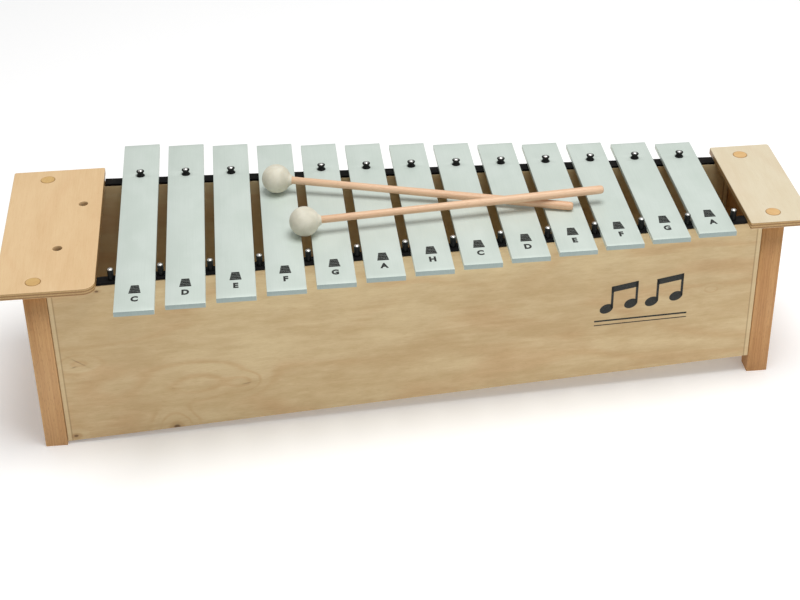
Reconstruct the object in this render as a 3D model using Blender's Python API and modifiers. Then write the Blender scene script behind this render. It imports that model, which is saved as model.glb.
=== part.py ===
"""A diatonic bar percussion instrument: a wooden resonator box that tapers to the high notes,
thirteen flat metal bars lying on two soft strips between guide pins, and two mallets on the bars.

Units are metres. +X runs to the high notes, +Y to the back, +Z up. The origin is on the
table under the middle of the instrument.
"""

import math

import bmesh
import bpy
from mathutils import Vector

# Driving dimensions -------------------------------------------------------------------------

GAP = 0.0003  # clearance between pieces that touch

# Bars, from the lowest note to the highest.
NOTES = ("c4", "d4", "e4", "f4", "g4", "a4", "h4", "c5", "d5", "e5", "f5", "g5", "a5")
BAR_WIDTH = 0.036
BAR_THICK = 0.005
BAR_PITCH = 0.0453
FIRST_BAR_X = -0.2567
LONGEST_BAR = 0.316
SHORTEST_BAR = 0.182
BAR_EDGE = 0.0005  # broken edge all round
BAR_HOLE_RADIUS = 0.00425
RECESS_SHARE = 0.30  # the tuning recess's share of the bar's length
LOWEST_RECESS = 0.0014  # its depth on the lowest bar
HIGHEST_RECESS = 0.0006  # and on the highest

# Resonator box.
FRAME_TOP = 0.1745  # top of the panels and of the end boards
END_BOARD_X = 0.3493  # middle of each end board
END_BOARD_THICK = 0.021
PANEL_THICK = 0.012
MID_HALF_DEPTH = 0.0838  # outer face of the panels at X = 0
TAPER = 0.0555  # loss of half depth for each metre towards the high notes
BOARD_PROUD = 0.001  # the end boards stand this far out of the panels
PANEL_BOTTOM_MID = 0.01125  # height of the panels' lower edge at X = 0
BOTTOM_SLOPE = 0.02435  # the lower edge and the floor rise towards the high notes
FLOOR_MID = 0.026  # underside of the resonator's floor at X = 0
FLOOR_THICK = 0.004
GROOVE_DEPTH = 0.003  # the floor is let into all four boards
FOOT_WIDTH = 0.018
ARCH_HEIGHT = 0.016
ARCH_SHOULDER = 0.014  # how far from the foot the arch reaches its full height

# Strips that the bars lie on.
STRIP_THICK = 0.0023

# End plates, which are also the carrying grips.
PLATE_THICK = 0.007
HALF_LENGTH = 0.38375  # outer edge of both plates
# Corner radii: front outer, front inner, back inner, back outer.
LEFT_PLATE = {
    "inner_x": -0.29325,
    "half_depth": 0.1148,
    "corners": (0.006, 0.012, 0.001, 0.002),
}
RIGHT_PLATE = {
    "inner_x": 0.32275,
    "half_depth": 0.0772,
    "corners": (0.004, 0.0015, 0.001, 0.003),
}
PLUG_RADIUS = 0.007
PLUG_THICK = 0.0042
LEFT_PLUG_Y = 0.0965
RIGHT_PLUG_Y = 0.0585
PEG_HOLE_RADIUS = 0.0045
PEG_HOLES = ((-0.3113, 0.0429), (-0.3311, -0.0395))

# Guide pins. Each is a steel pin with a soft sleeve round its neck.
PIN_RISE = 0.0065  # the head's height over the bars' tops
PIN_HEAD_RADIUS = 0.0023
PIN_SHANK_RADIUS = 0.0015
PIN_DEPTH = 0.012  # how far the shank is driven into the panel
SLEEVE_DROP = 0.0017  # the sleeve ends this far below the head's top
LIP_THICK = 0.0006
FLARE = 0.0018  # height over which the sleeve widens to its lip
FRONT_SLEEVE = {"radius": 0.0028, "lip": 0.0028}
BACK_SLEEVE = {"radius": 0.0032, "lip": 0.0038}
PIN_STEPS = 12

# Mallets: position of the head's middle, and the direction the handle points in.
HEAD_RADIUS = 0.01425
COLLAR_RADIUS = 0.0048
COLLAR_END = 0.0158  # the head's collar round the handle ends this far from the ball's middle
COLLAR_FLARE = 0.0068  # radius at which the collar leaves the ball
HANDLE_NECK_RADIUS = 0.0036
HANDLE_GRIP_RADIUS = 0.0042
HANDLE_REACH = 0.291  # from the head's middle to the grip's end
HANDLE_INSET = 0.009  # the handle's end stops this far short of the ball's far side
LOWER_MALLET = {"x": -0.1216, "y": 0.0411, "heading": math.radians(-14.7)}
UPPER_MALLET = {"x": -0.0990, "y": -0.0453, "heading": math.radians(4.8)}
MALLET_STEPS = 24

# Heights that follow.
PLATE_BOTTOM = FRAME_TOP + GAP
PLATE_TOP = PLATE_BOTTOM + PLATE_THICK
STRIP_BOTTOM = FRAME_TOP + GAP
STRIP_TOP = STRIP_BOTTOM + STRIP_THICK
BAR_BOTTOM = STRIP_TOP + GAP
BAR_TOP = BAR_BOTTOM + BAR_THICK
INNER_X = END_BOARD_X - END_BOARD_THICK / 2  # inner face of the end boards
SLOPE_ANGLE = math.atan(BOTTOM_SLOPE)

# An outline drawn in a side view stands up across X with this turn.
SIDEWAYS = (math.radians(90), 0.0, math.radians(90))

COLOURS = {
    "birch_ply": ((0.52, 0.37, 0.20), 0.55, 0.0),
    "beech": ((0.45, 0.27, 0.14), 0.55, 0.0),
    "left_plate": ((0.78, 0.56, 0.33), 0.5, 0.0),
    "right_plate": ((0.80, 0.69, 0.50), 0.5, 0.0),
    "plug": ((0.62, 0.38, 0.15), 0.5, 0.0),
    "strip": ((0.015, 0.014, 0.014), 0.9, 0.0),
    "bar": ((0.62, 0.68, 0.64), 0.35, 0.6),
    "pin": ((0.75, 0.75, 0.72), 0.25, 1.0),
    "handle": ((0.78, 0.56, 0.35), 0.45, 0.0),
    "head": ((0.68, 0.64, 0.52), 0.9, 0.0),
}


# Helpers ------------------------------------------------------------------------------------


def clear_scene():
    for obj in list(bpy.data.objects):
        bpy.data.objects.remove(obj, do_unlink=True)


def new_collection(name):
    collection = bpy.data.collections.new(name)
    bpy.context.scene.collection.children.link(collection)
    return collection


def new_material(name):
    colour, roughness, metallic = COLOURS[name]
    material = bpy.data.materials.new(name)
    material.use_nodes = True
    shader = material.node_tree.nodes["Principled BSDF"]
    shader.inputs["Base Color"].default_value = (*colour, 1.0)
    shader.inputs["Roughness"].default_value = roughness
    shader.inputs["Metallic"].default_value = metallic
    return material


def add_object(name, mesh, material_name):
    obj = bpy.data.objects.new(name, mesh)
    obj.data.materials.append(materials[material_name])
    parts.objects.link(obj)
    return obj


def as_cutter(obj, collection=None):
    """Moves an object among the cutters, where it is drawn as wire and left out of the part."""
    for user in list(obj.users_collection):
        user.objects.unlink(obj)
    (collection or cutters).objects.link(obj)
    obj.hide_render = True
    obj.display_type = "WIRE"
    return obj


def arc(centre, radius, start, end, steps=5):
    """Points along an arc, from the angle start to the angle end, in degrees."""
    angles = [math.radians(start + (end - start) * i / steps) for i in range(steps + 1)]
    return [
        (centre[0] + radius * math.cos(a), centre[1] + radius * math.sin(a)) for a in angles
    ]


def board(name, outline, thickness, location, material_name, rotation=(0.0, 0.0, 0.0)):
    """A flat piece: a closed outline with half the thickness to each side of it."""
    curve = bpy.data.curves.new(name, "CURVE")
    curve.dimensions = "2D"
    curve.fill_mode = "BOTH"
    curve.extrude = thickness / 2
    spline = curve.splines.new("POLY")
    spline.points.add(len(outline) - 1)
    for point, (x, y) in zip(spline.points, outline):
        point.co = (x, y, 0.0, 1.0)
    spline.use_cyclic_u = True
    guide = bpy.data.objects.new(name + "_outline", curve)
    bpy.context.scene.collection.objects.link(guide)
    bpy.context.view_layer.update()
    graph = bpy.context.evaluated_depsgraph_get()
    mesh = bpy.data.meshes.new_from_object(guide.evaluated_get(graph))
    bpy.data.objects.remove(guide, do_unlink=True)
    mesh.name = name
    mesh.materials.clear()
    weld(mesh)
    obj = add_object(name, mesh, material_name)
    obj.location = location
    obj.rotation_euler = rotation
    return obj


def weld(mesh):
    cage = bmesh.new()
    cage.from_mesh(mesh)
    bmesh.ops.remove_doubles(cage, verts=cage.verts, dist=1e-6)
    bmesh.ops.recalc_face_normals(cage, faces=cage.faces)
    cage.to_mesh(mesh)
    cage.free()


def turned(name, profile, steps, material_name):
    """A lathe-turned piece. The profile's (radius, height) points run from top to bottom."""
    mesh = bpy.data.meshes.new(name)
    cage = bmesh.new()
    points = [cage.verts.new((radius, 0.0, height)) for radius, height in profile]
    for first, second in zip(points, points[1:]):
        cage.edges.new((first, second))
    cage.to_mesh(mesh)
    cage.free()
    obj = add_object(name, mesh, material_name)
    screw = obj.modifiers.new("turn", "SCREW")
    screw.axis = "Z"
    screw.steps = steps
    screw.render_steps = steps
    screw.use_merge_vertices = True
    screw.merge_threshold = 1e-5
    screw.use_smooth_shade = True
    return obj


def cylinder(name, radius, bottom, top, x, y, steps, material_name):
    mesh = bpy.data.meshes.new(name)
    cage = bmesh.new()
    bmesh.ops.create_cone(
        cage, cap_ends=True, segments=steps, radius1=radius, radius2=radius, depth=top - bottom
    )
    cage.to_mesh(mesh)
    cage.free()
    mesh.shade_smooth()
    mesh.set_sharp_from_angle(angle=math.radians(40))
    obj = add_object(name, mesh, material_name)
    obj.location = (x, y, (bottom + top) / 2)
    return obj


def cut(obj, cutter):
    boolean = obj.modifiers.new("cut_" + cutter.name, "BOOLEAN")
    boolean.operation = "DIFFERENCE"
    boolean.object = cutter


def cut_with_all(obj, collection):
    boolean = obj.modifiers.new("cut_" + collection.name, "BOOLEAN")
    boolean.operation = "DIFFERENCE"
    boolean.operand_type = "COLLECTION"
    boolean.collection = collection


def half_depth(x):
    """How far the panels' outer faces are from the middle plane at x."""
    return MID_HALF_DEPTH - TAPER * x


def pin_line(x):
    """The middle of the panels' thickness, where the pins stand and the strips lie."""
    return half_depth(x) - PANEL_THICK / 2


def bar_x(number):
    return FIRST_BAR_X + BAR_PITCH * number


def bar_length(number):
    last = len(NOTES) - 1
    return LONGEST_BAR + (SHORTEST_BAR - LONGEST_BAR) * number / last


# Resonator box ------------------------------------------------------------------------------


def side_strip_outline(side, x_from, x_to):
    """The plan of a panel or strip on one side: side is -1 for the front and 1 for the back."""
    outer = [(x, side * half_depth(x)) for x in (x_from, x_to)]
    inner = [(x, side * (half_depth(x) - PANEL_THICK)) for x in (x_to, x_from)]
    return outer + inner


def box_plan(margin):
    """The plan of the space inside the four boards, grown by a margin on every side."""
    plan = []
    for x, y_side in ((-INNER_X, -1), (INNER_X, -1), (INNER_X, 1), (-INNER_X, 1)):
        depth = half_depth(x) - PANEL_THICK + margin
        plan.append((x + math.copysign(margin, x), y_side * depth))
    return plan


def make_floor(name, margin, thickness):
    """The resonator's floor rises gently to the high notes."""
    return board(
        name,
        box_plan(margin),
        thickness,
        (0.0, 0.0, FLOOR_MID + FLOOR_THICK / 2),
        "birch_ply",
        rotation=(0.0, -SLOPE_ANGLE, 0.0),
    )


def make_panel(name, side, groove, pin_holes):
    """A long panel whose lower edge is cut on the slope."""
    panel = board(
        name,
        side_strip_outline(side, -INNER_X + GAP, INNER_X - GAP),
        FRAME_TOP,
        (0.0, 0.0, FRAME_TOP / 2),
        "birch_ply",
    )
    cut(panel, lower_edge_cutter())
    cut(panel, groove)
    cut_with_all(panel, pin_holes)
    return panel


def lower_edge_cutter():
    """A thick slab whose upper face is the panels' sloping lower edge."""
    name = "lower_edge_cutter"
    if name in bpy.data.objects:
        return bpy.data.objects[name]
    slab = 0.06
    outline = [(-0.5, -0.2), (0.5, -0.2), (0.5, 0.2), (-0.5, 0.2)]
    height = PANEL_BOTTOM_MID - slab / 2 / math.cos(SLOPE_ANGLE)
    cutter = board(
        name, outline, slab, (0.0, 0.0, height), "birch_ply", rotation=(0.0, -SLOPE_ANGLE, 0.0)
    )
    return as_cutter(cutter)


def end_board_outline(depth):
    """Side view of an end board: straight sides, and a low arch between two feet."""
    foot = depth - FOOT_WIDTH
    spring = foot - ARCH_SHOULDER
    # Each shoulder is a quarter of an ellipse, ARCH_SHOULDER wide and as high as the arch.
    quarter = arc((0.0, 0.0), 1.0, 0, 90, 6)
    left = [(-spring - ARCH_SHOULDER * y, ARCH_HEIGHT * z) for y, z in quarter]
    right = [(-y, z) for y, z in reversed(left)]
    return (
        [(depth, FRAME_TOP), (-depth, FRAME_TOP), (-depth, 0.0)] + left + right + [(depth, 0.0)]
    )


def make_end_board(name, x, groove):
    depth = half_depth(x) + BOARD_PROUD
    end_board = board(
        name, end_board_outline(depth), END_BOARD_THICK, (x, 0.0, 0.0), "beech", SIDEWAYS
    )
    cut(end_board, groove)
    return end_board


def make_resonator(front_holes, back_holes):
    """The box of four boards and a floor, let into a groove all round."""
    groove = as_cutter(make_floor("floor_groove_cutter", GROOVE_DEPTH, FLOOR_THICK + 2 * GAP))
    make_floor("resonator_floor", GROOVE_DEPTH - GAP, FLOOR_THICK)
    make_end_board("left_end_board", -END_BOARD_X, groove)
    make_end_board("right_end_board", END_BOARD_X, groove)
    make_panel("front_panel", -1, groove, front_holes)
    make_panel("back_panel", 1, groove, back_holes)


def make_strip(name, side, pin_holes):
    """A soft strip on a panel's top edge, from one end plate to the other."""
    x_from = LEFT_PLATE["inner_x"] + 2 * GAP
    x_to = RIGHT_PLATE["inner_x"] - 2 * GAP
    strip = board(
        name,
        side_strip_outline(side, x_from, x_to),
        STRIP_THICK,
        (0.0, 0.0, STRIP_BOTTOM + STRIP_THICK / 2),
        "strip",
    )
    cut_with_all(strip, pin_holes)


# End plates ---------------------------------------------------------------------------------


def plate_outline(inner_x, depth, corners):
    """A rectangle with rounded corners, drawn from its front corner at the low X side."""
    outer_x = math.copysign(HALF_LENGTH, inner_x)
    low, high = sorted((inner_x, outer_x))
    front_outer, front_inner, back_inner, back_outer = corners
    if inner_x == high:
        radii = (front_outer, front_inner, back_inner, back_outer)
    else:
        radii = (front_inner, front_outer, back_outer, back_inner)
    places = ((low, -depth), (high, -depth), (high, depth), (low, depth))
    outline = []
    for number, ((x, y), radius) in enumerate(zip(places, radii)):
        centre_x = x + math.copysign(radius, (low + high) / 2 - x)
        centre_y = y - math.copysign(radius, y)
        start = 180 + 90 * number
        outline += arc((centre_x, centre_y), radius, start, start + 90)
    return outline


def make_plug(name, x, y):
    """A round wooden plug that hides a screw, in a blind seat in the plate."""
    seat = cylinder(
        name + "_seat",
        PLUG_RADIUS + GAP,
        PLATE_TOP - PLUG_THICK - GAP,
        PLATE_TOP + 0.01,
        x,
        y,
        24,
        "plug",
    )
    cylinder(name, PLUG_RADIUS, PLATE_TOP - PLUG_THICK, PLATE_TOP, x, y, 24, "plug")
    return as_cutter(seat)


def make_plate(name, side, plate, plug_y, material_name):
    """A flat plate on top of an end board, which it overhangs as a grip."""
    obj = board(
        name,
        plate_outline(plate["inner_x"], plate["half_depth"], plate["corners"]),
        PLATE_THICK,
        (0.0, 0.0, PLATE_BOTTOM + PLATE_THICK / 2),
        material_name,
    )
    for place, y in (("front", -plug_y), ("back", plug_y)):
        cut(obj, make_plug(f"{side}_{place}_plug", math.copysign(END_BOARD_X, plate["inner_x"]), y))
    return obj


def make_plates():
    left = make_plate("left_end_plate", "left", LEFT_PLATE, LEFT_PLUG_Y, "left_plate")
    make_plate("right_end_plate", "right", RIGHT_PLATE, RIGHT_PLUG_Y, "right_plate")
    for number, (x, y) in enumerate(PEG_HOLES, 1):
        bottom, top = PLATE_BOTTOM - 0.01, PLATE_TOP + 0.01
        hole = cylinder(f"peg_hole_{number}", PEG_HOLE_RADIUS, bottom, top, x, y, 16, "plug")
        cut(left, as_cutter(hole))


# Guide pins ---------------------------------------------------------------------------------


def pin_profile(sleeve):
    """Head, sleeve and shank of a pin, from its top down to its point."""
    top = BAR_TOP + PIN_RISE
    lip = top - SLEEVE_DROP
    point = FRAME_TOP - PIN_DEPTH
    return [
        (0.0, top),
        (0.0014, top - 0.0003),
        (PIN_HEAD_RADIUS, top - 0.0013),
        (PIN_HEAD_RADIUS, lip),
        (sleeve["lip"], lip),
        (sleeve["lip"], lip - LIP_THICK),
        (sleeve["radius"], lip - LIP_THICK - FLARE),
        (sleeve["radius"], STRIP_TOP + GAP),
        (PIN_SHANK_RADIUS, STRIP_TOP + GAP),
        (PIN_SHANK_RADIUS, point + 0.0015),
        (0.0, point),
    ]


def make_pin(name, x, side, sleeve, holes):
    y = side * pin_line(x)
    pin = turned(name, pin_profile(sleeve), PIN_STEPS, "pin")
    pin.location = (x, y, 0.0)
    bottom = FRAME_TOP - PIN_DEPTH - GAP
    hole = cylinder(
        name + "_hole", PIN_SHANK_RADIUS + GAP, bottom, STRIP_TOP + 0.01, x, y, PIN_STEPS, "pin"
    )
    # The hole's flats line up with the pin's.
    hole.rotation_euler = (0.0, 0.0, math.pi / 2)
    as_cutter(hole, holes)


def make_pins(front_holes, back_holes):
    """Front pins stand between the bars and past both ends; each back pin goes through a bar."""
    for number in range(len(NOTES) + 1):
        x = bar_x(number - 0.5)
        make_pin(f"front_pin_{number + 1:02d}", x, -1, FRONT_SLEEVE, front_holes)
    for number in range(len(NOTES)):
        x = bar_x(number)
        make_pin(f"back_pin_{number + 1:02d}", x, 1, BACK_SLEEVE, back_holes)


# Bars ---------------------------------------------------------------------------------------


def bar_outline(length, recess):
    """Side view of a bar, with the shallow tuning recess ground across its underside."""
    reach = RECESS_SHARE * length / 2
    steps = 8
    ground = []
    for i in range(steps + 1):
        y = -reach + 2 * reach * i / steps
        ground.append((y, recess * (1 - (y / reach) ** 2)))
    end = length / 2
    return [(-end, 0.0)] + ground + [(end, 0.0), (end, BAR_THICK), (-end, BAR_THICK)]


def make_bar(number, note):
    x = bar_x(number)
    share = number / (len(NOTES) - 1)
    recess = LOWEST_RECESS + (HIGHEST_RECESS - LOWEST_RECESS) * share
    bar = board(
        "bar_" + note,
        bar_outline(bar_length(number), recess),
        BAR_WIDTH,
        (x, 0.0, BAR_BOTTOM),
        "bar",
        SIDEWAYS,
    )
    hole = cylinder(
        f"bar_{note}_hole",
        BAR_HOLE_RADIUS,
        BAR_BOTTOM - 0.01,
        BAR_TOP + 0.01,
        x,
        pin_line(x),
        16,
        "bar",
    )
    cut(bar, as_cutter(hole))
    edge = bar.modifiers.new("broken_edge", "BEVEL")
    edge.width = BAR_EDGE
    edge.segments = 1
    edge.limit_method = "ANGLE"
    edge.angle_limit = math.radians(80)


# Mallets ------------------------------------------------------------------------------------


def head_profile():
    """A ball with a short collar and a blind bore for the handle, which enters from below."""
    bore = HANDLE_NECK_RADIUS + GAP
    seat = HEAD_RADIUS - HANDLE_INSET + GAP
    collar_angle = math.degrees(math.acos(COLLAR_FLARE / HEAD_RADIUS))
    ball = arc((0.0, 0.0), HEAD_RADIUS, 90, -collar_angle, 14)
    collar = [(COLLAR_RADIUS, -COLLAR_END), (bore, -COLLAR_END)]
    return [(0.0, HEAD_RADIUS)] + ball[1:] + collar + [(bore, seat), (0.0, seat)]


def handle_profile():
    """A straight stick that swells a little to a round grip end."""
    top = HEAD_RADIUS - HANDLE_INSET
    grip = HANDLE_GRIP_RADIUS
    end = -HANDLE_REACH
    return [
        (0.0, top),
        (HANDLE_NECK_RADIUS - 0.0005, top),
        (HANDLE_NECK_RADIUS, top - 0.0005),
        (HANDLE_NECK_RADIUS, -0.09),
        (grip - 0.0002, -0.18),
        (grip, end + 0.012),
        (0.8 * grip, end + 0.0012),
        (0.4 * grip, end),
        (0.0, end),
    ]


def lowest_reach(profile, tilt):
    """How far a turned piece reaches below its middle when its axis is tilted from level."""
    return max(r * math.cos(tilt) + abs(z) * math.sin(tilt) for r, z in profile)


def lower_mallet_heights():
    """Heights of the head's middle and of the grip's end, both resting on the bars."""
    grip = BAR_TOP + GAP + HANDLE_GRIP_RADIUS
    head = BAR_TOP + GAP + HEAD_RADIUS
    for _ in range(5):
        tilt = math.asin((head - grip) / HANDLE_REACH)
        head = BAR_TOP + GAP + lowest_reach(head_profile(), tilt)
    return head, grip


def crossing():
    """How far along each handle the two cross in plan, as a share of the reach."""
    lower = Vector((LOWER_MALLET["x"], LOWER_MALLET["y"]))
    upper = Vector((UPPER_MALLET["x"], UPPER_MALLET["y"]))
    a = Vector((math.cos(LOWER_MALLET["heading"]), math.sin(LOWER_MALLET["heading"])))
    b = Vector((math.cos(UPPER_MALLET["heading"]), math.sin(UPPER_MALLET["heading"])))
    between = upper - lower
    turn = a.x * b.y - a.y * b.x
    along_lower = (between.x * b.y - between.y * b.x) / turn
    along_upper = (between.x * a.y - between.y * a.x) / turn
    return along_lower / HANDLE_REACH, along_upper / HANDLE_REACH


def upper_mallet_heights():
    """The head rests on the bars and the handle on the lower mallet's handle."""
    lower_head, lower_grip = lower_mallet_heights()
    on_lower, on_upper = crossing()
    under = lower_head + (lower_grip - lower_head) * on_lower
    over = under + 2 * HANDLE_GRIP_RADIUS + 2 * GAP
    head = BAR_TOP + GAP + HEAD_RADIUS
    for _ in range(5):
        grip = head + (over - head) / on_upper
        tilt = math.asin(abs(head - grip) / HANDLE_REACH)
        head = BAR_TOP + GAP + lowest_reach(head_profile(), tilt)
    return head, grip


def make_mallet(name, place, heights):
    """Head and handle are turned about the local Z axis, with the head's middle as origin."""
    head_height, grip_height = heights
    drop = head_height - grip_height
    level = math.sqrt(HANDLE_REACH**2 - drop**2)
    heading = place["heading"]
    towards_head = Vector((-level * math.cos(heading), -level * math.sin(heading), drop))
    holder = bpy.data.objects.new(name, None)
    parts.objects.link(holder)
    holder.location = (place["x"], place["y"], head_height)
    holder.rotation_euler = towards_head.to_track_quat("Z", "Y").to_euler()
    head = turned(name + "_head", head_profile(), MALLET_STEPS, "head")
    handle = turned(name + "_handle", handle_profile(), MALLET_STEPS, "handle")
    for piece in (head, handle):
        piece.parent = holder


# Assembly -----------------------------------------------------------------------------------

clear_scene()
parts = new_collection("bar_instrument")
cutters = new_collection("cutters")
materials = {name: new_material(name) for name in COLOURS}

front_pin_holes = new_collection("front_pin_holes")
back_pin_holes = new_collection("back_pin_holes")
make_pins(front_pin_holes, back_pin_holes)
make_resonator(front_pin_holes, back_pin_holes)
make_strip("front_rest_strip", -1, front_pin_holes)
make_strip("back_rest_strip", 1, back_pin_holes)
make_plates()
for index, bar_note in enumerate(NOTES):
    make_bar(index, bar_note)
make_mallet("lower_mallet", LOWER_MALLET, lower_mallet_heights())
make_mallet("upper_mallet", UPPER_MALLET, upper_mallet_heights())
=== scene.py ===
"""The looks of a diatonic bar instrument: a tapered wooden resonator box, thirteen metal bars on
soft strips between guide pins, and two mallets lying on the bars. Metres, +Z up."""

import math

import bmesh
import bpy
import numpy as np
from mathutils import Matrix, Vector


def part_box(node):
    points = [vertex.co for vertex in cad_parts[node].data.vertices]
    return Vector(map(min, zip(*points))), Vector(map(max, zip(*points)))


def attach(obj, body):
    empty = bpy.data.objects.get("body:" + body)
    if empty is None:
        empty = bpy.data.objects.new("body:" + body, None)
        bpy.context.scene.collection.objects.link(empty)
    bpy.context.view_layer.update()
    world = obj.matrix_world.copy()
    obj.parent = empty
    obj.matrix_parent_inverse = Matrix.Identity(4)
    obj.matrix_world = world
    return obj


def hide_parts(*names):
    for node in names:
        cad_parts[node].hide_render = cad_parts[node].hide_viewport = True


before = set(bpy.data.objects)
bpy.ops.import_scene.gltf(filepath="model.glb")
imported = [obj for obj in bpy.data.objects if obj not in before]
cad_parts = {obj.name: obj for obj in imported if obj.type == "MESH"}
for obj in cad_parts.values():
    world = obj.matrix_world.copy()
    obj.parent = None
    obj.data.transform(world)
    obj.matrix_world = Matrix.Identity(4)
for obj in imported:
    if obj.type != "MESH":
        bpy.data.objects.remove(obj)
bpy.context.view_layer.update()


# The studio -----------------------------------------------------------
# A plain pale floor under soft light: a wide overhead panel, a weaker one in front, and a pale
# room all round. The camera looks down on the box from in front, a little from the left.


def tint(red, green, blue):
    """A colour from its three shades between 0 and 255, as the shader counts them."""
    return tuple((shade / 255) ** 2.2 for shade in (red, green, blue)) + (1.0,)


class Value:
    """A number that varies over a surface. A sum on it adds the Math node that works it out."""

    def __init__(self, nodes, socket):
        self.nodes = nodes
        self.socket = socket

    def _worked(self, operation, first, second):
        return self.nodes.node("ShaderNodeMath", {"operation": operation}, {0: first, 1: second})

    def __add__(self, other):
        return self._worked("ADD", self, other)

    def __radd__(self, other):
        return self._worked("ADD", other, self)

    def __sub__(self, other):
        return self._worked("SUBTRACT", self, other)

    def __rsub__(self, other):
        return self._worked("SUBTRACT", other, self)

    def __mul__(self, other):
        return self._worked("MULTIPLY", self, other)

    def __rmul__(self, other):
        return self._worked("MULTIPLY", other, self)

    def __truediv__(self, other):
        return self._worked("DIVIDE", self, other)

    def __pow__(self, power):
        return self._worked("POWER", self, power)

    def __abs__(self):
        return self.nodes.node("ShaderNodeMath", {"operation": "ABSOLUTE"}, {0: self})


class Nodes:
    """A node tree, and the one way in which a node is added to it."""

    def __init__(self, tree):
        self.tree = tree

    def node(self, kind, settings, sockets, output=0):
        """Adds a node of a kind: its settings first, then its sockets' values or links."""
        made = self.tree.nodes.new(kind)
        for key, value in settings.items():
            if key == "choices":
                while len(made.index_switch_items) < value:
                    made.index_switch_items.new()
            else:
                setattr(made, key, value)
        for key, value in sockets.items():
            for single in value if isinstance(value, list) else [value]:
                if isinstance(single, Value):
                    self.tree.links.new(single.socket, made.inputs[key])
                else:
                    made.inputs[key].default_value = single
        return Value(self, made.outputs[output])


class Finish(Nodes):
    """A surface finish: one Principled shader and the nodes that vary it."""

    def __init__(self, name, **fixed):
        self.material = bpy.data.materials.new(name)
        self.material.use_nodes = True
        super().__init__(self.material.node_tree)
        self.shader = self.tree.nodes["Principled BSDF"]
        for socket, value in fixed.items():
            self.shader.inputs[socket.replace("_", " ")].default_value = value
        self.here = self.node("ShaderNodeTexCoord", {}, {}, "Object")

    def laid(self, grain, centre=(0.0, 0.0, 0.0), turn=(0.0, 0.0, 0.0)):
        """The place on the piece, measured in grains of a size from a centre, after a turn."""
        sockets = {"Vector": self.here, "Location": centre, "Rotation": turn, "Scale": grain}
        return self.node("ShaderNodeMapping", {"vector_type": "TEXTURE"}, sockets)

    def distance(self, place):
        """How far a laid place is from its centre, in grains."""
        return self.node("ShaderNodeVectorMath", {"operation": "LENGTH"}, {0: place}, "Value")

    def zigzag(self, value):
        """Up from 0 to 1 and down again, once for every two units of the value."""
        return self.node("ShaderNodeMath", {"operation": "PINGPONG"}, {0: value, 1: 1.0})

    def cells(self, place):
        """The distance to the nearest of points scattered about one grain apart."""
        return self.node("ShaderNodeTexVoronoi", {}, {"Vector": place, "Scale": 1.0}, "Distance")

    def cloud(self, place, detail=2.0, roughness=0.5, swirl=0.0):
        """Soft random variation, about 0.3 to 0.7."""
        sockets = {
            "Vector": place,
            "Scale": 1.0,
            "Detail": detail,
            "Roughness": roughness,
            "Distortion": swirl,
        }
        return self.node("ShaderNodeTexNoise", {}, sockets, "Fac")

    def rise(self, value, start, end):
        """0 below start and 1 above end, with a smooth slope between; reversed if end is lower."""
        low, high, first, last = (start, end, 0.0, 1.0) if start < end else (end, start, 1.0, 0.0)
        sockets = {"Value": value, 1: low, 2: high, 3: first, 4: last}
        return self.node("ShaderNodeMapRange", {"interpolation_type": "SMOOTHSTEP"}, sockets)

    def mix(self, share, first, second, how="MIX"):
        settings = {"data_type": "RGBA", "blend_type": how}
        return self.node("ShaderNodeMix", settings, {0: share, 6: first, 7: second}, 2)

    def split(self, place, axis):
        return self.node("ShaderNodeSeparateXYZ", {}, {0: place}, axis)

    def give(self, colour=None, roughness=None, height=None, depth=0.0001, metallic=None):
        """Joins what varies to the shader. Height runs from 0 to 1 over a depth in metres."""
        varied = {"Base Color": colour, "Roughness": roughness, "Metallic": metallic}
        if height is not None:
            relief = {"Height": height, "Distance": depth, "Strength": 1.0}
            varied["Normal"] = self.node("ShaderNodeBump", {}, relief)
        for socket, value in varied.items():
            if value is not None:
                self.tree.links.new(value.socket, self.shader.inputs[socket])
        return self.material


def in_scene(name, data):
    """An object at the origin of the scene that holds a mesh, a curve, a light or a camera."""
    thing = bpy.data.objects.new(name, data)
    bpy.context.scene.collection.objects.link(thing)
    return thing


FLOOR_REACH = 30.0
FLOOR_GRAIN = (1.5, 1.5, 1.5)
FLOOR_GLOW = 0.18
ROOM_STRENGTH = 0.38
CAMERA_LENS = 75.8
CAMERA_PLACE = Vector((-0.1394, -1.4162, 0.9942))
CAMERA_AIM = Vector((-0.0059, 0.0, 0.072))
CAMERA_LEAN = math.radians(-1.0)

floor_finish = Finish("pale_floor", Roughness=0.9, Emission_Strength=FLOOR_GLOW)
floor_finish.shader.inputs["Emission Color"].default_value = tint(255, 255, 255)
floor_shade = floor_finish.cloud(floor_finish.laid(FLOOR_GRAIN))
floor_finish.give(floor_finish.mix(floor_shade, tint(250, 250, 250), tint(252, 252, 252)))
floor_mesh = bpy.data.meshes.new("studio_floor")
reach = FLOOR_REACH / 2
floor_corners = [(-reach, -reach, 0), (reach, -reach, 0), (reach, reach, 0), (-reach, reach, 0)]
floor_mesh.from_pydata(floor_corners, [], [(0, 1, 2, 3)])
floor_mesh.materials.append(floor_finish.material)
studio_floor = in_scene("studio_floor", floor_mesh)

room = bpy.data.worlds.new("pale_room")
room.use_nodes = True
walls = room.node_tree.nodes["Background"].inputs
walls["Color"].default_value = (1.0, 1.0, 1.0, 1.0)
walls["Strength"].default_value = ROOM_STRENGTH
bpy.context.scene.world = room
bpy.context.scene.view_settings.view_transform = "Standard"


def soft_light(name, power, size, place, aim):
    lamp = bpy.data.lights.new(name, "AREA")
    lamp.shape = "DISK"
    lamp.size = size
    lamp.energy = power
    light = in_scene(name, lamp)
    light.location = place
    towards = Vector(aim) - Vector(place)
    light.rotation_euler = towards.to_track_quat("-Z", "Y").to_euler()


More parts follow.
